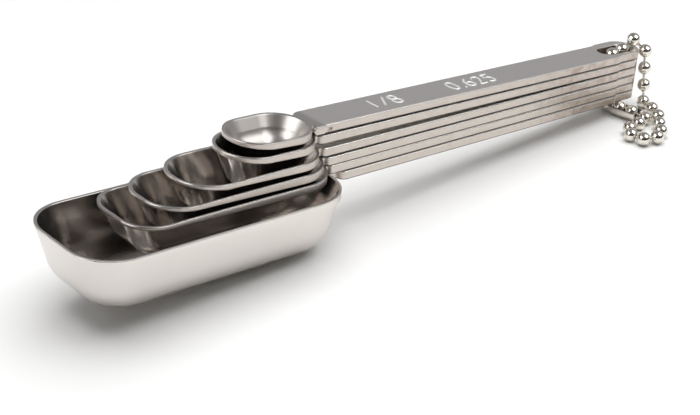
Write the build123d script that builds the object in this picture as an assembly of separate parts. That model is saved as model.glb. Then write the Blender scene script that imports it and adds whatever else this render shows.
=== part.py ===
# Nested set of stamped steel measuring spoons held on a ball chain. Millimetres.
# Spoon frame: +X runs from the tablespoon's neck to the handle ends, +Z up out of the bowls.
from build123d import *
import math
import os

# Sheet and handles
sheet = 1.8
handle_width = 8.5
handle_end = 95.4
handle_end_radius = 4.1
neck_width = 5.0
notch_radius = 0.6
shoulder_radius = 1.6
slot_inset = 2.5
slot_length = 9.5
slot_clearance = 0.8
edge_break = 0.25

# End tab of the handle, round the slot: it stands a little to the far side of the handle
tab_length = 9.6
tab_offset = 0.45
tab_corner = 0.4

# Pinched nub at the near shoulder of the smallest spoon, with a nick in the sheet's edge after it
nub_length = 3.4
nub_out = 0.3
nub_depth = 1.5
nick_length = 1.3
nick_height = 0.7
nick_depth = 0.35

# Bowls: the pressed wall is thinner than the sheet
bowl_wall = 1.1
rim_wall = 0.55
draw_radius = 0.2
far_gap = 0.15
table_gap = 0.15

# Ball chain: hollow balls, headed pins between them and a trough that clasps the two end balls
ball_diameter = 3.2
ball_wall = 0.3
ball_gap = 1.1
least_gap = 0.15
pin_diameter = 0.7
pin_clearance = 0.06
head_overlap = 0.05
head_clearance = 0.08
chain_clearance = 0.12
slot_sink = 1.2
slot_sway = 1.35
mouth_sink = 0.5
clasp_wall = 0.3
clasp_clearance = 0.4
side_angle = 25
foot_angle = 43
foot_reach = 2.6

# Loop on the table from beside the handle ends round to behind them, in ball pitches from the handle end
loop_shares = [(-0.15, -1.98), (-0.62, -2.83), (-1.33, -3.50), (-1.95, -4.15), (-2.67, -4.51),
               (-3.40, -4.20), (-3.52, -3.42), (-2.98, -2.85), (-2.15, -2.77), (-1.38, -2.55)]
crest_shares = (0.70, -0.12)

# Sizes that follow from those above
slot_end = handle_end - slot_inset
slot_start = slot_end - slot_length
slot_width = ball_diameter + 2 * slot_clearance
ball_pitch = ball_diameter + ball_gap
least_pitch = ball_diameter + least_gap
ball_hole = pin_diameter + 2 * pin_clearance
head_diameter = ball_hole + 2 * head_overlap
head_inset = ball_diameter / 2 - ball_wall - head_clearance - head_diameter / 2
clasp_slot = pin_diameter + 2 * clasp_clearance

# Largest spoon: where its bowl ends at the neck and at the tip, its rim and cavity, how high the trimmed rim
# edge is at the tip, where the handle's shoulder starts after the bowl, and how much more than its sides the
# bowl's tip leans inward
sizes = {
    "tablespoon": dict(neck=0.0, tip=-61.1, width=27.5, tip_radius=8.9, neck_radius=9.9, depth=13.18, draft=12.0,
                       floor_width=8.0, inset=1.1, tip_band=0.7, shoulder=2.6, tip_share=1.2),
}

# Smaller spoons, each nested in the one before: the gaps between their walls at the sides, neck end and floor,
# and between their tips, the gap between their handles at the neck, and how much steeper and rounder it is
nested = {
    "teaspoon": dict(side_gap=3.79, end_gap=0.49, tip_gap=11.59, floor_gap=4.66, neck_gap=0.31, draft_gain=6.0,
                     corner_gain=3.2, tip_radius=6.4, floor_width=1.2, inset=1.1, tip_band=0.6, shoulder=-0.2,
                     tip_share=1.5),
    "three_quarter_teaspoon": dict(side_gap=0.22, end_gap=0.37, tip_gap=5.67, floor_gap=0.89, neck_gap=0.15,
                                   draft_gain=1.0, corner_gain=0.35, tip_radius=7.4, floor_width=1.0, inset=1.1,
                                   tip_band=0.6, shoulder=-0.2, tip_share=1.5),
    "half_teaspoon": dict(side_gap=0.22, end_gap=0.77, tip_gap=7.07, floor_gap=1.65, neck_gap=0.44, draft_gain=0,
                          corner_gain=0, tip_radius=7.6, floor_width=1.0, inset=1.1, tip_band=0.6, shoulder=-0.2,
                          tip_share=1.4),
    "quarter_teaspoon": dict(side_gap=0.64, end_gap=0.99, tip_gap=10.59, floor_gap=1.75, neck_gap=1.08, draft_gain=0,
                             corner_gain=0, tip_radius=7.2, floor_width=1.0, inset=1.1, tip_band=0.9, shoulder=-0.2,
                             tip_share=1.2),
    "eighth_teaspoon": dict(side_gap=0.29, end_gap=0.5, tip_gap=1.69, floor_gap=4.48, neck_gap=0.5, draft_gain=0,
                            corner_gain=0, tip_radius=6.6, floor_width=1.0, inset=1.1, tip_band=0.9, shoulder=-0.2,
                            tip_share=1.2),
}

floor_steps = 4
round_share = 0.49


def nested_sizes(below, fit):
    """A smaller spoon's sizes, from the spoon it lies in and the gaps between their walls."""
    draft = below["draft"] + fit["draft_gain"]
    rise = sheet + fit["neck_gap"]
    inward = below["inset"] + bowl_wall - fit["inset"] - rise * math.tan(math.radians(draft))
    side = inward + fit["side_gap"]
    return dict(fit, draft=draft, width=below["width"] - 2 * side,
                neck=below["neck"] - inward - fit["end_gap"],
                tip=below["tip"] + inward + fit["tip_gap"],
                depth=below["depth"] + rise - bowl_wall - fit["floor_gap"],
                neck_radius=below["neck_radius"] - side + fit["corner_gain"])


for name, fit in nested.items():
    sizes[name] = nested_sizes(list(sizes.values())[-1], fit)


def outline(start, end, width, start_radius, end_radius):
    """Flat outline with rounded ends, from start to end along X."""
    limit = round_share * min(width, end - start)
    corners = [(start, 1, min(start_radius, limit), 90), (start, -1, min(start_radius, limit), 180),
               (end, -1, min(end_radius, limit), 270), (end, 1, min(end_radius, limit), 0)]
    arcs = []
    for x, side, radius, turn in corners:
        inward = 1 if x == start else -1
        arcs.append(CenterArc((x + inward * radius, side * (width / 2 - radius)), radius, turn, 90))
    lines = [Line(arc @ 1, arcs[(i + 1) % len(arcs)] @ 0) for i, arc in enumerate(arcs)]
    return make_face(Curve() + arcs + lines)


def floor_radius(spoon):
    """Radius between the drafted wall and the flat strip along the bowl's floor."""
    slope = math.tan(math.radians(spoon["draft"]))
    span = min(spoon["width"], spoon["neck"] - spoon["tip"])
    radius = (span - spoon["floor_width"]) / 2 - spoon["inset"] - spoon["depth"] * slope
    return min(radius, spoon["depth"] - 2 * draw_radius)


def bowl_profile(spoon, wall):
    """Rows of inset and depth of the cavity, or with a wall of the outside: down the wall, round to the floor."""
    slope = math.tan(math.radians(spoon["draft"]))
    radius = floor_radius(spoon)
    straight = spoon["depth"] - radius
    rows = [(spoon["inset"] - wall if wall else rim_wall, 0)]
    for i in range(floor_steps + 1):
        turn = math.pi / 2 * i / floor_steps
        drop = straight + radius * math.sin(turn)
        inset = spoon["inset"] + drop * slope + radius * (1 - math.cos(turn))
        rows.append((inset - wall * math.cos(turn), drop + wall * math.sin(turn)))
    return rows


def bowl_solid(spoon, wall):
    """The cavity as a solid, or with a wall the outside of the bowl."""
    sections = []
    rows = bowl_profile(spoon, wall)
    for inset, drop in rows:
        share = 1 - 2 * inset / spoon["width"]
        tip_inset = rows[0][0] + (inset - rows[0][0]) * spoon["tip_share"]
        shape = outline(spoon["tip"] + tip_inset, spoon["neck"] - inset, spoon["width"] - 2 * inset,
                        spoon["tip_radius"] * share, spoon["neck_radius"] * share)
        sections.append(Pos(0, 0, -drop) * shape)
    return loft(sections[:2], ruled=True) + loft(sections[1:])


def spoon_plan(spoon):
    """Plan of the trimmed sheet: bowl rim, notched neck and straight handle."""
    rim = outline(spoon["tip"], spoon["neck"], spoon["width"], spoon["tip_radius"], spoon["neck_radius"])
    start = spoon["neck"] + spoon["shoulder"]
    tab_start = handle_end - tab_length
    handle = outline(start, tab_start + tab_corner, handle_width, shoulder_radius, tab_corner)
    tab = outline(tab_start, handle_end, handle_width, tab_corner, handle_end_radius)
    neck_start = spoon["neck"] - spoon["width"] / 4
    neck = Pos((neck_start + start + shoulder_radius) / 2, 0) * Rectangle(start + shoulder_radius - neck_start, neck_width)
    plan = Sketch() + rim + neck + handle + Pos(0, tab_offset) * tab
    return offset(offset(plan, notch_radius), -notch_radius)


def slot():
    """Oblong hole for the chain near the handle's end."""
    hole = SlotOverall(slot_length, slot_width)
    return extrude(Pos((slot_start + slot_end) / 2, 0, 0) * hole, -sheet)


def rim_underside(spoon):
    """Wedge that leaves the trimmed rim edge full at the neck and low at the tip."""
    wedge = Polyline((spoon["neck"], -sheet), (spoon["tip"] - sheet, -sheet), (spoon["tip"] - sheet, -spoon["tip_band"]),
                     close=True)
    side = extrude(make_face(Plane.XZ * wedge), spoon["width"], both=True)
    return side


def spoon_solid(spoon):
    """One spoon, its handle's top face at z = 0."""
    plate = extrude(spoon_plan(spoon), -sheet) - slot()
    plate = plate - rim_underside(spoon)
    edges = [e for e in plate.edges() if e.center().Z > -sheet / 4]
    plate = fillet(edges, edge_break)
    body = plate + bowl_solid(spoon, bowl_wall)
    body = body - bowl_solid(spoon, 0)
    mouth = [wire for wire in body.faces().sort_by(Axis.Z)[-1].inner_wires() if wire.center().X < 0]
    return fillet(mouth[0].edges(), draw_radius)


def nub_middle(spoon):
    """Middle of the pinched nub: it starts in the notch between the bowl and the handle."""
    start = spoon["neck"] + spoon["shoulder"] - notch_radius
    return Pos(start + nub_length / 2, -handle_width / 2 - nub_out, -sheet / 2)


def pinched(spoon, body):
    """The spoon with the nub and the nick on its near edge."""
    face = Plane.XZ * SlotOverall(nub_length, sheet)
    nub = extrude(face, -nub_depth)
    nub = fillet(nub.edges().sort_by(Axis.Y)[:4], edge_break)
    nick = extrude(Plane.XZ * SlotOverall(nick_length, nick_height), -nick_depth - nub_out)
    middle = nub_middle(spoon)
    return body - middle * Pos((nub_length + nick_length) / 2, 0, -nick_height / 4) * nick + middle * nub


def seats():
    """Place of each spoon's top face in the stack, the tablespoon lowest and level."""
    names = list(sizes)
    first = sizes[names[0]]
    places = {names[0]: Pos(0, 0, first["depth"] + bowl_wall)}
    for below, name in zip(names, names[1:]):
        lift = math.degrees(math.atan((sizes[name]["neck_gap"] - far_gap) / handle_end))
        turn = Pos(handle_end, 0, -sheet) * Rot(0, lift, 0) * Pos(-handle_end, 0, sheet)
        places[name] = places[below] * Pos(0, 0, sheet + far_gap) * turn
    return places


def rest_tilt():
    """Angle at which the bowl's neck end stands on the table while the handles lie on the chain."""
    first = sizes["tablespoon"]
    radius = floor_radius(first) + bowl_wall
    slope = math.tan(math.radians(first["draft"]))
    floor_end = first["neck"] - first["inset"] - first["depth"] * slope - floor_radius(first)
    along = slot_end - floor_end
    up = first["depth"] + bowl_wall - sheet - radius
    lift = radius - ball_diameter - table_gap
    return math.degrees(math.atan2(up, along) + math.asin(lift / math.hypot(up, along)))


def divide(start, end, sway):
    """Balls between two places, as many as fit, evenly spaced, every second one swayed along X."""
    step = math.sqrt(least_pitch ** 2 - sway ** 2)
    steps = max(1, int((end - start).length / step))
    return [start + (end - start) * (i / steps) - Vector(sway * (i % 2), 0, 0) for i in range(1, steps)]


def chain_stations(places):
    """Centres of the balls: up through the slots, over the end, down beside it and round the loop."""
    radius = ball_diameter / 2
    reach = handle_end_radius + radius + 2 * chain_clearance
    end_x = handle_end - handle_end_radius
    low = places["tablespoon"]
    high = places["eighth_teaspoon"]
    slot_place = slot_end - radius - chain_clearance
    under = (low * Pos((slot_start + slot_end) / 2, 0, -sheet)).position
    under = Vector(under.X, 0, radius)
    inside = (high * Pos(slot_place - least_pitch, 0, -slot_sink)).position
    mouth = (high * Pos(slot_place, 0, -mouth_sink)).position
    crest = (high * Pos(slot_place + crest_shares[0] * ball_pitch, crest_shares[1] * ball_pitch,
                        radius + chain_clearance)).position
    turn = math.radians(side_angle)
    side = (high * Pos(end_x + reach * math.cos(turn), -reach * math.sin(turn), -sheet / 2)).position
    foot_x = (low * Pos(end_x, 0, -sheet)).position.X
    turn = math.radians(foot_angle)
    reach = handle_end_radius + foot_reach
    foot = Vector(foot_x + reach * math.cos(turn), -reach * math.sin(turn), radius)
    end = (low * Pos(handle_end, 0, -sheet)).position
    loop = [Vector(end.X + x * ball_pitch, y * ball_pitch, radius) for x, y in loop_shares]
    back = under - loop[-1]
    held = least_pitch / back.length / 2
    raised = Vector(0, 0, chain_clearance + clasp_wall)
    clasped = [loop[-1] + back * (0.5 - held) + raised, loop[-1] + back * (0.5 + held) + raised]
    run = [under] + divide(under, inside, slot_sway) + [inside, mouth, crest, side] + divide(side, foot, 0) + [foot]
    return run + loop + clasped


def holed_ball():
    """Hollow ball with one hole, at its top."""
    outer_turn = math.degrees(math.asin(ball_hole / ball_diameter))
    inner_turn = math.degrees(math.asin(ball_hole / (ball_diameter - 2 * ball_wall)))
    outer = CenterArc((0, 0), ball_diameter / 2, -90, 180 - outer_turn)
    inner = CenterArc((0, 0), ball_diameter / 2 - ball_wall, -90, 180 - inner_turn)
    ends = [Line(outer @ 0, inner @ 0), Line(outer @ 1, inner @ 1)]
    return revolve(Plane.XZ * make_face(Curve() + [outer, inner] + ends), Axis.Z)


def ball(centre, before, after):
    """Hollow ball with a hole towards each neighbour."""
    bore = Cylinder(ball_hole / 2, ball_diameter, align=(Align.CENTER, Align.CENTER, Align.MIN))
    first = Plane((0, 0, 0), z_dir=(before - centre).normalized())
    second = Plane((0, 0, 0), z_dir=(after - centre).normalized())
    return Pos(centre) * (first * holed_ball() - second * bore)


def link(start, end):
    """Pin between two balls, with a round head inside each."""
    length = (end - start).length - 2 * head_inset
    pin = Cylinder(pin_diameter / 2, length, align=(Align.CENTER, Align.CENTER, Align.MIN))
    pin = pin + Sphere(head_diameter / 2) + Pos(0, 0, length) * Sphere(head_diameter / 2)
    way = Plane(start, z_dir=end - start)
    return way * Pos(0, 0, head_inset) * pin


def clasp(start, end):
    """Open trough round the two end balls, with notched end plates for the pins."""
    inner = ball_diameter / 2 + chain_clearance
    outer = inner + clasp_wall
    length = (end - start).length + 2 * outer
    trough = Cylinder(outer, length) - Cylinder(inner, length - 2 * clasp_wall)
    lid = Pos(outer, 0, 0) * Box(2 * outer - ball_diameter / 4, 2 * outer, length)
    notch = Pos(outer, 0, 0) * Box(2 * outer, clasp_slot, length)
    notch = notch + Cylinder(clasp_slot / 2, length)
    way = Plane((start + end) / 2, x_dir=(0, 0, 1), z_dir=end - start)
    return way * (trough - lid - notch)


def middle_of(parts):
    """Point on the table under the middle of the whole set."""
    boxes = [part.bounding_box() for part in parts]
    x = (min(box.min.X for box in boxes) + max(box.max.X for box in boxes)) / 2
    y = (min(box.min.Y for box in boxes) + max(box.max.Y for box in boxes)) / 2
    return Pos(-x, -y, 0)


def build():
    """Every solid by name, standing on the table at z = 0 with the origin under its middle."""
    spoons = {name: spoon_solid(spoon) for name, spoon in sizes.items()}
    last = list(sizes)[-1]
    spoons[last] = pinched(sizes[last], spoons[last])
    tilt = Rot(0, rest_tilt(), 0)
    places = seats()
    drop = (tilt * places["tablespoon"] * spoons["tablespoon"]).bounding_box().min.Z
    places = {name: Pos(0, 0, -drop) * tilt * place for name, place in places.items()}
    parts = {name: places[name] * spoon for name, spoon in spoons.items()}
    stations = chain_stations(places)
    count = len(stations)
    for i, centre in enumerate(stations):
        after = stations[(i + 1) % count]
        parts[f"chain_ball_{i + 1:02d}"] = ball(centre, stations[i - 1], after)
        if i != count - 2:
            parts[f"chain_link_{i + 1:02d}"] = link(centre, after)
    parts["chain_clasp"] = clasp(stations[-2], stations[-1])
    middle = middle_of(parts.values())
    parts = {name: middle * part for name, part in parts.items()}
    return parts, {name: middle * place for name, place in places.items()}


parts, places = build()
os.makedirs("parts", exist_ok=True)
for name, part in parts.items():
    export_step(part, f"parts/{name}.step")
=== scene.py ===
import math

import bpy
from mathutils import Euler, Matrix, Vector


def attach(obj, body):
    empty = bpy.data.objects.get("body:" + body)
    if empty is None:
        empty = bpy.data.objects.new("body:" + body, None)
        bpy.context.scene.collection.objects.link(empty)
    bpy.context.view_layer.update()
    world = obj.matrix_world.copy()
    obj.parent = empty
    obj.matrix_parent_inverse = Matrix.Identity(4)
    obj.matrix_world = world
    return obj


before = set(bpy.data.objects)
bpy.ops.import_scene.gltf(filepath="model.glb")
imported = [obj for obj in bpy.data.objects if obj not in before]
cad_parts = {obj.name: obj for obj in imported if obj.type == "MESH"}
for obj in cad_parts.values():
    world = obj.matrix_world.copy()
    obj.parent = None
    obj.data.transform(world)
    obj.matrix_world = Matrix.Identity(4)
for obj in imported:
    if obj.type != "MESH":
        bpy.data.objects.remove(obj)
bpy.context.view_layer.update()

mm = 0.001
neckPlace = -0.0189                           # metres, where the bowls' necks lie along the part's X
spoonNames = ["tablespoon", "teaspoon", "three_quarter_teaspoon", "half_teaspoon",
              "quarter_teaspoon", "eighth_teaspoon"]

# Settings that many nodes have in common
smoothStep = {"interpolation_type": "SMOOTHSTEP"}
mixNumbers = {"data_type": "FLOAT"}
mixColours = {"data_type": "RGBA"}


def linear(hexColour):
    # sRGB hex to the linear colour that shaders take
    values = [int(hexColour[i:i + 2], 16) / 255 for i in (1, 3, 5)]
    return tuple(v / 12.92 if v <= 0.04045 else ((v + 0.055) / 1.055) ** 2.4 for v in values) + (1.0,)


def addNode(tree, kind, settings=None, links=None):
    # one node: settings go to its properties or, where the key is a socket, to its inputs
    node = tree.nodes.new(kind)
    for key, value in (settings or {}).items():
        if isinstance(key, str) and hasattr(node, key):
            setattr(node, key, value)
        else:
            node.inputs[key].default_value = value
    for key, source in (links or {}).items():
        tree.links.new(source, node.inputs[key])
    return node


def newMaterial(name):
    material = bpy.data.materials.new(name)
    material.use_nodes = True
    material.node_tree.nodes.clear()
    return material


# Camera: where the photographer stood, metres in the part's frame
cameraSetup = {
    "place": (-0.19552, -0.21682, 0.15865),
    "turn": (61.3526, -0.1144, -39.925),      # degrees about X, Y and Z
    "lens": 80.63,                            # mm
    "sensor": 36,                             # mm wide
    "shift": (0.0004, -0.0006),
    "nearest": 0.01,                          # metres, where the picture starts
}

# Studio: matt white table, soft light overhead, a window each side, dim room behind the camera
studio = {
    "tableSize": 6.0,
    "tableColour": "#F4F4F3",
    "roomBack": 0.44,                         # brightness of the room beyond the object, low down
    "roomFront": 0.05,                        # and on the camera's side
    "roomTop": 0.25,
    "roomTint": "#FBFCFF",
    "roomWay": (0.64, 0.77, 0.0),             # level direction from the camera to the object
    "frontToBack": (-0.5, 0.7),               # along that direction, where the front ends and the back starts
    "lowToTop": (0.35, 0.9),                  # likewise upward
}
lamps = {
    # name: direction to the lamp, distance, width, height, watts, lights the table, shows in the metal
    "overheadSoftbox": ((0.17, 0.02, 1.0), 0.90, 1.20, 1.20, 12.2, True, False),
    "leftWindow": ((-0.78, 0.28, 0.56), 0.90, 0.78, 0.78, 5.4, False, True),
    "rightWindow": ((0.38, -0.50, 0.78), 0.90, 0.70, 0.70, 4.4, False, True),
}


def makeCamera():
    data = bpy.data.cameras.new("camera")
    data.lens = cameraSetup["lens"]
    data.sensor_width = cameraSetup["sensor"]
    data.shift_x, data.shift_y = cameraSetup["shift"]
    data.clip_start = cameraSetup["nearest"]
    camera = bpy.data.objects.new("camera", data)
    camera.location = cameraSetup["place"]
    camera.rotation_euler = Euler([math.radians(a) for a in cameraSetup["turn"]])
    bpy.context.scene.collection.objects.link(camera)
    bpy.context.scene.camera = camera


def makeTable():
    half = studio["tableSize"] / 2
    corners = [(-half, -half, 0), (half, -half, 0), (half, half, 0), (-half, half, 0)]
    mesh = bpy.data.meshes.new("table")
    mesh.from_pydata(corners, [], [(0, 1, 2, 3)])
    table = bpy.data.objects.new("table", mesh)
    bpy.context.scene.collection.objects.link(table)
    # plain matt white paper or board, which shows nothing but the soft shadows
    material = newMaterial("matt white table")
    tree = material.node_tree
    matt = addNode(tree, "ShaderNodeBsdfDiffuse", {"Color": linear(studio["tableColour"])})
    addNode(tree, "ShaderNodeOutputMaterial", None, {"Surface": matt.outputs[0]})
    mesh.materials.append(material)


def makeRoom():
    # the camera itself sees plain white; the metal and the table see a dim room
    world = bpy.data.worlds.new("room")
    bpy.context.scene.world = world
    world.use_nodes = True
    tree = world.node_tree
    tree.nodes.clear()
    way = addNode(tree, "ShaderNodeTexCoord")
    parts = addNode(tree, "ShaderNodeSeparateXYZ", None, {0: way.outputs["Generated"]})
    back = addNode(tree, "ShaderNodeVectorMath", {"operation": "DOT_PRODUCT", 1: studio["roomWay"]},
                   {0: way.outputs["Generated"]})
    start, end = studio["frontToBack"]
    low = addNode(tree, "ShaderNodeMapRange",
                  {**smoothStep, "From Min": start, "From Max": end,
                   "To Min": studio["roomFront"], "To Max": studio["roomBack"]},
                  {0: back.outputs["Value"]})
    start, end = studio["lowToTop"]
    high = addNode(tree, "ShaderNodeMapRange", {**smoothStep, "From Min": start, "From Max": end},
                   {0: parts.outputs["Z"]})
    level = addNode(tree, "ShaderNodeMix", {**mixNumbers, 3: studio["roomTop"]},
                    {0: high.outputs[0], 2: low.outputs[0]})
    room = addNode(tree, "ShaderNodeBackground", {"Color": linear(studio["roomTint"])},
                   {"Strength": level.outputs[0]})
    white = addNode(tree, "ShaderNodeBackground", {"Color": (1, 1, 1, 1), "Strength": 1.0})
    rays = addNode(tree, "ShaderNodeLightPath")
    mixed = addNode(tree, "ShaderNodeMixShader", None,
                    {0: rays.outputs["Is Camera Ray"], 1: room.outputs[0], 2: white.outputs[0]})
    addNode(tree, "ShaderNodeOutputWorld", None, {"Surface": mixed.outputs[0]})


def makeLamps():
    for name, (way, distance, width, height, watts, onTable, inMetal) in lamps.items():
        data = bpy.data.lights.new(name, "AREA")
        data.shape = "RECTANGLE"
        data.size, data.size_y, data.energy = width, height, watts
        lamp = bpy.data.objects.new(name, data)
        lamp.location = Vector(way).normalized() * distance
        lamp.rotation_euler = Vector(way).to_track_quat("Z", "Y").to_euler()
        lamp.visible_camera = False
        lamp.visible_diffuse = onTable
        lamp.visible_glossy = inMetal
        bpy.context.scene.collection.objects.link(lamp)


makeCamera()
makeTable()
makeRoom()
makeLamps()
print("camera, table and lights made")


# Spoons: stamped and tumble-polished 18/8 stainless steel
spoonSteel = {
    "colour": "#DFDAD5",
    "bowlShadeColour": "#BDB8B4",                  # painted shade on the drawn bowls, darker than the rolled sheet where they mirror the dim room
    "outsideShadeShare": 0.3,                      # how much of that painted shade the nested bowls' outsides have
    "edgeColour": "#CFC7BF",                  # sheared edges, a little darker and warmer
    "stainColour": "#AD9A91",                 # faint reddish stains on them
    "stained": (52, 70),                      # mm from the neck, where the stains get strong
    "stainStrength": (0.2, 0.9),              # before that place and beyond it
    "patch": (0.44, 0.72),                    # level of the mottle where a stain starts and where it is full
    "leastPatch": 0.25,                       # what is left of the stain between the patches
    "mottle": 2.3,                            # mm, size of the patches
    "topRoughness": 0.30,                     # satin from tumbling
    "wallRoughness": 0.26,                    # outside of the largest bowl
    "bowlRoughness": 0.08,                    # the other drawn bowls are brighter outside
    "insideRoughness": 0.22,
    "smallestRoughness": 0.36,                # inside of the smallest bowl, which is satin
    "edgeRoughness": 0.36,
    "smear": 9.0,                             # mm, size of the areas that are worn more or less
    "wear": 0.03,                             # how much rougher or smoother they are
    "seamShade": (0.05, 0.24),                     # mm from a sheet's faces, where painted shade darkens its sheared edge in the seams between the stacked handles
    # colour of the painted shade in the seams
    "seamShadeColour": "#4A4643",
    "sampled": 8.0,                           # mm of the handle's end that gives the sheet's place
    "edgeBreak": 0.3,                         # mm, how far the edges are rounded by tumbling
    "edgeSamples": 6,
    "grain": 0.35,                            # mm, size of the tumbling marks
    "grainDepth": 0.02,                       # mm
    "grainShare": 0.06,                       # how clearly they show
    "flatFacing": (0.55, 0.98),               # how squarely a face looks up or down, from bowl wall to flat top
    "edgeFacing": (0.10, 0.01),               # likewise, from the rest to a sheared edge
    "insideFacing": (0.02, 0.15),             # how squarely it looks up, from a bowl's outside to its inside
    "bowlShadeFrom": (-5.2, -3.4),                 # mm from the neck, where the bowls' painted shade ends
    "wallFrom": (-2.0, 1.0),                  # mm from the neck, where the largest bowl's wall meets the edge
    "tilts": {"tablespoon": 5.09, "teaspoon": 5.19, "three_quarter_teaspoon": 5.19, "half_teaspoon": 5.36,
              "quarter_teaspoon": 5.92, "eighth_teaspoon": 6.13},    # degrees, how far the neck is up
}


def spoonFrame(tree, name):
    # the spoon's own directions: X along its handle, Z out of its bowl, in metres, and its surface normal there
    tilt = -math.radians(spoonSteel["tilts"][name])
    place = addNode(tree, "ShaderNodeTexCoord")
    along = addNode(tree, "ShaderNodeMapping", {"Rotation": (0, tilt, 0)}, {"Vector": place.outputs["Object"]})
    facing = addNode(tree, "ShaderNodeMapping", {"vector_type": "NORMAL", "Rotation": (0, tilt, 0)},
                     {"Vector": place.outputs["Normal"]})
    return along.outputs[0], facing.outputs[0]


def sheetHeights(name):
    # lower and upper face of the handle's sheet, along the spoon's own Z, in metres
    tilt = -math.radians(spoonSteel["tilts"][name])
    points = [v.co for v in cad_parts[name].data.vertices]
    far = max(p.x for p in points) - spoonSteel["sampled"] * mm
    heights = [p.z * math.cos(tilt) - p.x * math.sin(tilt) for p in points if p.x > far]
    return min(heights), max(heights)


def makeSpoonSteel(name):
    # bright satin steel: blurred reflections on the flats, clearer ones on the bowls, dull warm sheared edges
    material = newMaterial(f"tumbled stainless steel {name.replace('_', ' ')}")
    tree = material.node_tree
    along, facing = spoonFrame(tree, name)
    fromNeck = addNode(tree, "ShaderNodeSeparateXYZ", None, {0: along})

    # flat tops, sheared edges and bowl insides, told apart by the way they face
    normal = addNode(tree, "ShaderNodeSeparateXYZ", None, {0: facing})
    up = addNode(tree, "ShaderNodeMath", {"operation": "ABSOLUTE"}, {0: normal.outputs["Z"]})
    start, end = spoonSteel["flatFacing"]
    flat = addNode(tree, "ShaderNodeMapRange", {**smoothStep, "From Min": start, "From Max": end},
                   {0: up.outputs[0]})
    start, end = spoonSteel["edgeFacing"]
    edge = addNode(tree, "ShaderNodeMapRange", {**smoothStep, "From Min": start, "From Max": end},
                   {0: up.outputs[0]})
    if name == "tablespoon":
        # its rim is pressed flush with the wall, so that only the handle has a sheared edge
        start, end = [neckPlace + v * mm for v in spoonSteel["wallFrom"]]
        handle = addNode(tree, "ShaderNodeMapRange", {**smoothStep, "From Min": start, "From Max": end},
                         {0: fromNeck.outputs["X"]})
        edge = addNode(tree, "ShaderNodeMath", {"operation": "MULTIPLY"},
                       {0: edge.outputs[0], 1: handle.outputs[0]})
    start, end = spoonSteel["insideFacing"]
    inside = addNode(tree, "ShaderNodeMapRange", {**smoothStep, "From Min": start, "From Max": end},
                     {0: normal.outputs["Z"]})

    spots = addNode(tree, "ShaderNodeTexNoise", {"Scale": 1 / (spoonSteel["grain"] * mm), "Detail": 3.0},
                    {0: along})
    smears = addNode(tree, "ShaderNodeTexNoise",
                     {"Scale": 1 / (spoonSteel["smear"] * mm), "Detail": 4.0, "Roughness": 0.6}, {0: along})
    mottle = addNode(tree, "ShaderNodeTexNoise",
                     {"Scale": 1 / (spoonSteel["mottle"] * mm), "Detail": 4.0, "Roughness": 0.6}, {0: along})

    # roughness of each area, worn a little more or less from place to place
    within = spoonSteel["smallestRoughness" if name == "eighth_teaspoon" else "insideRoughness"]
    outside = spoonSteel["wallRoughness" if name == "tablespoon" else "bowlRoughness"]
    bowl = addNode(tree, "ShaderNodeMix", {**mixNumbers, 3: within, 2: outside}, {0: inside.outputs[0]})
    base = addNode(tree, "ShaderNodeMix", {**mixNumbers, 3: spoonSteel["topRoughness"]},
                   {0: flat.outputs[0], 2: bowl.outputs[0]})
    sheared = addNode(tree, "ShaderNodeMix", {**mixNumbers, 3: spoonSteel["edgeRoughness"]},
                      {0: edge.outputs[0], 2: base.outputs[0]})
    worn = addNode(tree, "ShaderNodeMapRange", {"To Min": -spoonSteel["wear"], "To Max": spoonSteel["wear"]},
                   {0: smears.outputs[0]})
    rough = addNode(tree, "ShaderNodeMath", {"operation": "ADD", "use_clamp": True},
                    {0: sheared.outputs[0], 1: worn.outputs[0]})

    # stains on the sheared edges
    start, end = [neckPlace + v * mm for v in spoonSteel["stained"]]
    weak, full = spoonSteel["stainStrength"]
    strong = addNode(tree, "ShaderNodeMapRange",
                     {**smoothStep, "From Min": start, "From Max": end, "To Min": weak, "To Max": full},
                     {0: fromNeck.outputs["X"]})
    start, end = spoonSteel["patch"]
    patches = addNode(tree, "ShaderNodeMapRange",
                      {**smoothStep, "From Min": start, "From Max": end, "To Min": spoonSteel["leastPatch"]},
                      {0: mottle.outputs[0]})
    stains = addNode(tree, "ShaderNodeMath", {"operation": "MULTIPLY"},
                     {0: patches.outputs[0], 1: strong.outputs[0]})
    cut = addNode(tree, "ShaderNodeMix",
                  {**mixColours, 6: linear(spoonSteel["edgeColour"]), 7: linear(spoonSteel["stainColour"])},
                  {0: stains.outputs[0]})

    # painted shade in the seams between the stacked handles, darkening each sheared edge near its sheet's faces;
    # the uppermost face has no sheet above it and stays unshaded
    low, high = sheetHeights(name)
    shadeStart, shadeEnd = [v * mm for v in spoonSteel["seamShade"]]
    seamShade = addNode(tree, "ShaderNodeMapRange", {**smoothStep, "From Min": low + shadeStart, "From Max": low + shadeEnd},
                   {0: fromNeck.outputs["Z"]})
    if name != "eighth_teaspoon":
        above = addNode(tree, "ShaderNodeMapRange",
                        {**smoothStep, "From Min": high - shadeStart, "From Max": high - shadeEnd},
                        {0: fromNeck.outputs["Z"]})
        seamShade = addNode(tree, "ShaderNodeMath", {"operation": "MULTIPLY"},
                       {0: seamShade.outputs[0], 1: above.outputs[0]})
    cut = addNode(tree, "ShaderNodeMix", {**mixColours, 6: linear(spoonSteel["seamShadeColour"])},
                  {0: seamShade.outputs[0], 7: cut.outputs[2]})
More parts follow.
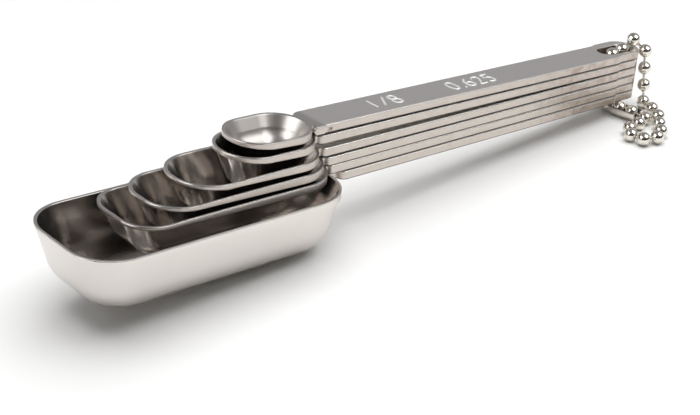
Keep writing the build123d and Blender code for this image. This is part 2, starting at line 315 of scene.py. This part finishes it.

    # painted shade on the drawn bowls, where they mirror the dim room: the insides darkened fully and, except on
    # the largest bowl, the outsides in part
    start, end = [neckPlace + v * mm for v in spoonSteel["bowlShadeFrom"]]
    bowlShade = addNode(tree, "ShaderNodeMapRange", {**smoothStep, "From Min": end, "From Max": start},
                    {0: fromNeck.outputs["X"]})
    outsideShade = 0 if name == "tablespoon" else spoonSteel["outsideShadeShare"]
    shadeByFacing = addNode(tree, "ShaderNodeMapRange", {"To Min": outsideShade}, {0: inside.outputs[0]})
    bowlShade = addNode(tree, "ShaderNodeMath", {"operation": "MULTIPLY"}, {0: bowlShade.outputs[0], 1: shadeByFacing.outputs[0]})
    sheet = addNode(tree, "ShaderNodeMix",
                    {**mixColours, 6: linear(spoonSteel["colour"]), 7: linear(spoonSteel["bowlShadeColour"])},
                    {0: bowlShade.outputs[0]})
    colour = addNode(tree, "ShaderNodeMix", mixColours,
                     {0: edge.outputs[0], 6: sheet.outputs[2], 7: cut.outputs[2]})

    bump = addNode(tree, "ShaderNodeBump",
                   {"Strength": spoonSteel["grainShare"], "Distance": spoonSteel["grainDepth"] * mm},
                   {"Height": spots.outputs[0]})
    if name != "tablespoon":
        # edges rounded by tumbling, which catch a line of light; the largest rim runs straight into its wall
        broken = addNode(tree, "ShaderNodeBevel",
                         {"samples": spoonSteel["edgeSamples"], "Radius": spoonSteel["edgeBreak"] * mm})
        tree.links.new(broken.outputs[0], bump.inputs["Normal"])
    steel = addNode(tree, "ShaderNodeBsdfPrincipled", {"Metallic": 1.0},
                    {"Base Color": colour.outputs[2], "Roughness": rough.outputs[0],
                     "Normal": bump.outputs[0]})
    addNode(tree, "ShaderNodeOutputMaterial", None, {"Surface": steel.outputs[0]})
    return material


# Chain: nickel-plated balls, pins and clasp
chainNickel = {
    "colour": "#E4DFD6",
    "roughness": 0.13,
    "wear": 0.8,                              # mm, size of the worn spots
    "wearRange": (0.6, 1.6),                  # how many times as rough they are, at the least and at the most
}


def makeNickel():
    # nickel-plated brass: bright, a little yellow, with small sharp highlights
    material = newMaterial("nickel-plated brass")
    tree = material.node_tree
    place = addNode(tree, "ShaderNodeTexCoord")
    wear = addNode(tree, "ShaderNodeTexNoise", {"Scale": 1 / (chainNickel["wear"] * mm), "Detail": 3.0},
                   {0: place.outputs["Object"]})
    least, most = [chainNickel["roughness"] * v for v in chainNickel["wearRange"]]
    rough = addNode(tree, "ShaderNodeMapRange", {"To Min": least, "To Max": most}, {0: wear.outputs[0]})
    nickel = addNode(tree, "ShaderNodeBsdfPrincipled",
                     {"Metallic": 1.0, "Base Color": linear(chainNickel["colour"])},
                     {"Roughness": rough.outputs[0]})
    addNode(tree, "ShaderNodeOutputMaterial", None, {"Surface": nickel.outputs[0]})
    return material


def dress(node, material):
    node.data.materials.clear()
    node.data.materials.append(material)


for name in spoonNames:
    dress(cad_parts[name], makeSpoonSteel(name))
nickel = makeNickel()
for name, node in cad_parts.items():
    if name.startswith("chain"):
        dress(node, nickel)
print("steel and nickel on")


# Marks: the spoon's measure, as thin bright strokes raised on the top of its handle
marks = {
    "numbers": {"1/8": 12.2, "0.625": 34.8},  # mm from the neck to the first stroke
    "neck": (-0.0178001, 0.0036215, 0.0248095),    # metres, middle of the handle's top at the neck
    "height": 3.9,                            # mm
    "width": 0.56,                            # of a figure, as a share of its height
    "pitch": 0.78,                            # from one figure to the next, likewise
    "pointPitch": 0.55,                       # from a point to the next figure, as a share of the pitch
    "stroke": 0.52,                           # mm
    "lift": 0.16,                             # mm, height of a stroke's crest
    "ringSteps": 20,                          # points round a ring
    # near white, a painted highlight on the strokes
    "colour": "#F4F3F0",
    "roughness": 0.45,
    "grain": 0.3,                             # mm, size of the grain
    "grainRange": 0.1,                        # how much rougher or smoother it makes the strokes
    "mattHighlight": 0.38,                            # share of matt near-white surface that the overhead lamp lights, a painted highlight that makes the strokes bright
}

# Strokes of each figure on a grid one high and one wide, from its lower left corner: lines through points,
# and rings by their middle, half width and half height
figureStrokes = {
    "1": [[(0.25, 0.8), (0.5, 1.0), (0.5, 0.0)]],
    "/": [[(0.0, 0.0), (1.0, 1.0)]],
    "8": [("ring", 0.5, 0.75, 0.40, 0.25), ("ring", 0.5, 0.26, 0.48, 0.26)],
    "0": [("ring", 0.5, 0.5, 0.46, 0.5)],
    ".": [[(0.12, 0.03), (0.27, 0.03)]],
    "6": [("ring", 0.5, 0.28, 0.46, 0.28), [(0.06, 0.34), (0.2, 0.7), (0.7, 1.0)]],
    "5": [[(0.9, 1.0), (0.2, 1.0), (0.12, 0.58), (0.5, 0.64), (0.85, 0.5), (0.92, 0.28),
           (0.75, 0.06), (0.4, 0.0), (0.05, 0.1)]],
    "2": [[(0.05, 0.75), (0.2, 0.95), (0.5, 1.0), (0.82, 0.9), (0.88, 0.68), (0.6, 0.38),
           (0.05, 0.0), (0.95, 0.0)]],
}


def strokePoints(stroke):
    if stroke[0] != "ring":
        return stroke
    across, up, halfWidth, halfHeight = stroke[1:]
    steps = marks["ringSteps"]
    turns = [2 * math.pi * i / steps for i in range(steps + 1)]
    return [(across + halfWidth * math.cos(t), up + halfHeight * math.sin(t)) for t in turns]


def addRidge(points, vertices, faces):
    # a low ridge along the points: two feet and a crest at each
    half, lift = marks["stroke"] / 2, marks["lift"]
    first = len(vertices)
    for i, point in enumerate(points):
        before, after = points[max(i - 1, 0)], points[min(i + 1, len(points) - 1)]
        way = Vector((after[0] - before[0], after[1] - before[1])).normalized()
        for side, height in ((half, 0), (0, lift), (-half, 0)):
            vertices.append((point[0] - way.y * side, point[1] + way.x * side, height))
    for i in range(first, len(vertices) - 3, 3):
        faces += [(i, i + 3, i + 4, i + 1), (i + 1, i + 4, i + 5, i + 2)]
    last = len(vertices) - 3
    faces += [(first, first + 1, first + 2), (last + 2, last + 1, last)]


def makeHighlightedMarkSteel():
    # steel painted brighter than the handle's top, a painted highlight on the strokes on top of the light their
    # ridges catch, with a matt share and a grain of its own
    material = newMaterial("steel painted bright")
    tree = material.node_tree
    place = addNode(tree, "ShaderNodeTexCoord")
    grain = addNode(tree, "ShaderNodeTexNoise", {"Scale": 1 / (marks["grain"] * mm), "Detail": 3.0},
                    {0: place.outputs["Object"]})
    rough = addNode(tree, "ShaderNodeMapRange",
                    {"To Min": marks["roughness"] - marks["grainRange"],
                     "To Max": marks["roughness"] + marks["grainRange"]}, {0: grain.outputs[0]})
    steel = addNode(tree, "ShaderNodeBsdfPrincipled",
                    {"Metallic": 1 - marks["mattHighlight"], "Base Color": linear(marks["colour"])},
                    {"Roughness": rough.outputs[0]})
    addNode(tree, "ShaderNodeOutputMaterial", None, {"Surface": steel.outputs[0]})
    return material


def makeMarks():
    # on the handle's top plane, tilted like its spoon; they read from the bowl to the handle's end
    tilt = math.radians(spoonSteel["tilts"]["eighth_teaspoon"])
    material = makeHighlightedMarkSteel()
    wide, tall = marks["height"] * marks["width"], marks["height"]
    for number, x in marks["numbers"].items():
        vertices, faces = [], []
        for figure in number:
            for stroke in figureStrokes[figure]:
                addRidge([(x + px * wide, (py - 0.5) * tall) for px, py in strokePoints(stroke)], vertices, faces)
            x += tall * marks["pitch"] * (marks["pointPitch"] if figure == "." else 1)
        mesh = bpy.data.meshes.new("mark")
        mesh.from_pydata([tuple(v * mm for v in point) for point in vertices], [], faces)
        mesh.materials.append(material)
        mark = bpy.data.objects.new("mark_" + number.replace("/", "_"), mesh)
        mark.location = Vector(marks["neck"])
        mark.rotation_euler = (0, tilt, 0)
        bpy.context.scene.collection.objects.link(mark)
        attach(mark, "eighth_teaspoon")


makeMarks()
print("marks on")

bpy.context.scene.view_settings.view_transform = "Standard"
